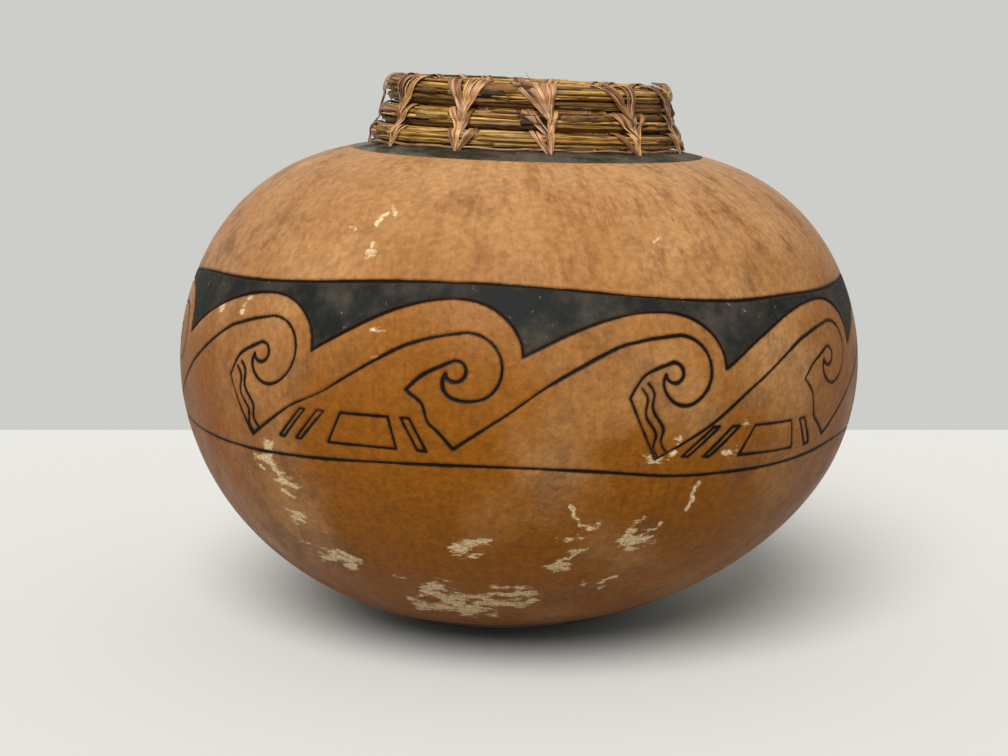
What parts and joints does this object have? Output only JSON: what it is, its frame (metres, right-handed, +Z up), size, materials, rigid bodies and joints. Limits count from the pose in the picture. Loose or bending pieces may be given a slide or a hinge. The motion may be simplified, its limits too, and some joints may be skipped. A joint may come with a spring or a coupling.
{
  "type": "gourd vase",
  "caption": "Round hollow dried gourd on a small flat spot, its open mouth edged with a coil of pine needles sewn on with raffia; a decorative vase.",
  "frame": {"origin": "middle of the flat spot the gourd stands on", "axes": "+Z up out of the mouth, -Y towards the picture's camera, +X to the right in the picture"},
  "size_m": [0.23, 0.23, 0.1887],
  "materials": {
    "gourd": "dried gourd skin, waxed satin, with engraved and blackened band pattern",
    "pine_needles": "dried pine needles, satin",
    "raffia": "split raffia, dull sheen"
  },
  "bodies": {
    "root": {"gourd_shell": "gourd", "needle_coil": "pine_needles", "raffia_lashing": "raffia"}
  },
  "joints": []
}
